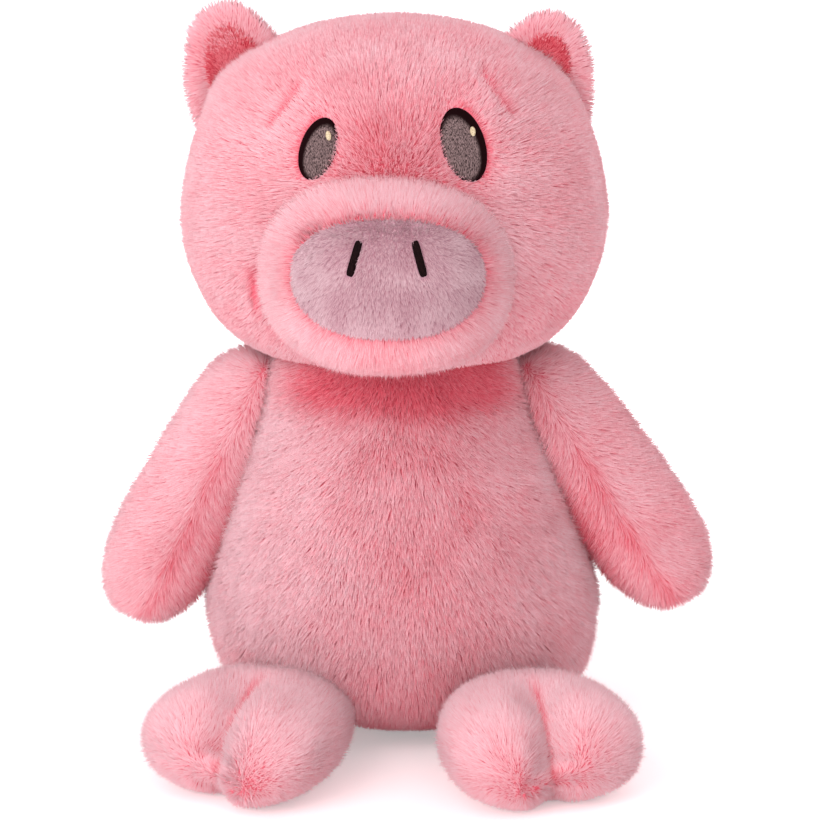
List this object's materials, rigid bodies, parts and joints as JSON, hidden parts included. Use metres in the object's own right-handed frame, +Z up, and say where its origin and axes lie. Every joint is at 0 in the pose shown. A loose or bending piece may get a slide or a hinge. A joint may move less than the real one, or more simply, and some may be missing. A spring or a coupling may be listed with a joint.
{
  "type": "plush pig",
  "caption": "Seated stuffed plush pig with a large head, padded muzzle, hanging arms and two-toed feet.",
  "frame": {"origin": "the point of the flat seat under the middle of the body, on the surface that the pig sits on", "axes": "+Z up, -Y the way the pig faces, +X to the viewer's right as they face the pig"},
  "size_m": [0.2345, 0.1968, 0.2853],
  "materials": {
    "plush": "long-pile pink plush, rose at the roots of the pile",
    "ear_lining": "short rose plush",
    "snout_pile": "short mauve plush",
    "eye_thread": "charcoal satin-stitch thread",
    "nostril_thread": "near-black satin-stitch thread",
    "highlight_thread": "cream satin-stitch thread",
    "pink_thread": "pink sewing thread",
    "stuffing": "white polyester fibre filling",
    "pellet_bag": "woven bag of plastic pellets"
  },
  "bodies": {
    "body": {"body_cover": "plush", "body_stuffing": "stuffing", "seat_pellet_bag": "pellet_bag", "tail": "plush"},
    "head": {"head_cover": "plush", "head_stuffing": "stuffing", "muzzle_cover": "plush", "muzzle_stuffing": "stuffing", "snout_patch": "snout_pile", "nostril_left": "nostril_thread", "nostril_right": "nostril_thread", "eye_left": "eye_thread", "eye_right": "eye_thread", "eye_highlight_left": "highlight_thread", "eye_highlight_right": "highlight_thread", "brow_stitch_left": "pink_thread", "brow_stitch_right": "pink_thread", "ear_left": "plush", "ear_right": "plush", "ear_lining_left": "ear_lining", "ear_lining_right": "ear_lining"},
    "arm_left": {"arm_cover_left": "plush", "arm_stuffing_left": "stuffing"},
    "arm_right": {"arm_cover_right": "plush", "arm_stuffing_right": "stuffing"},
    "leg_left": {"leg_cover_left": "plush", "leg_stuffing_left": "stuffing", "toe_stitch_left": "pink_thread"},
    "leg_right": {"leg_cover_right": "plush", "leg_stuffing_right": "stuffing", "toe_stitch_right": "pink_thread"}
  },
  "joints": [
    {"name": "neck_turn", "type": "hinge", "parent": "body", "child": "head", "pos_m": [-0.0045, 0, 0.153], "axis": [0, 0, 1], "range_deg": [-25, 25], "stiffness_Nm_per_rad": 0.05},
    {"name": "arm_swing_left", "type": "hinge", "parent": "body", "child": "arm_left", "pos_m": [-0.05811, -0.004, 0.13078], "axis": [-0.9659, 0, 0.2591], "range_deg": [-35, 80]},
    {"name": "arm_swing_right", "type": "hinge", "parent": "body", "child": "arm_right", "pos_m": [0.05041, -0.004, 0.13084], "axis": [-0.9505, 0, -0.3109], "range_deg": [-35, 80]},
    {"name": "leg_fold_left", "type": "hinge", "parent": "body", "child": "leg_left", "pos_m": [-0.04384, -0.03883, 0.01875], "axis": [-0.9336, 0.3584, 0], "range_deg": [-60, 15]},
    {"name": "leg_fold_right", "type": "hinge", "parent": "body", "child": "leg_right", "pos_m": [0.04289, -0.04218, 0.01875], "axis": [-0.9877, -0.1564, 0], "range_deg": [-60, 15]}
  ]
}
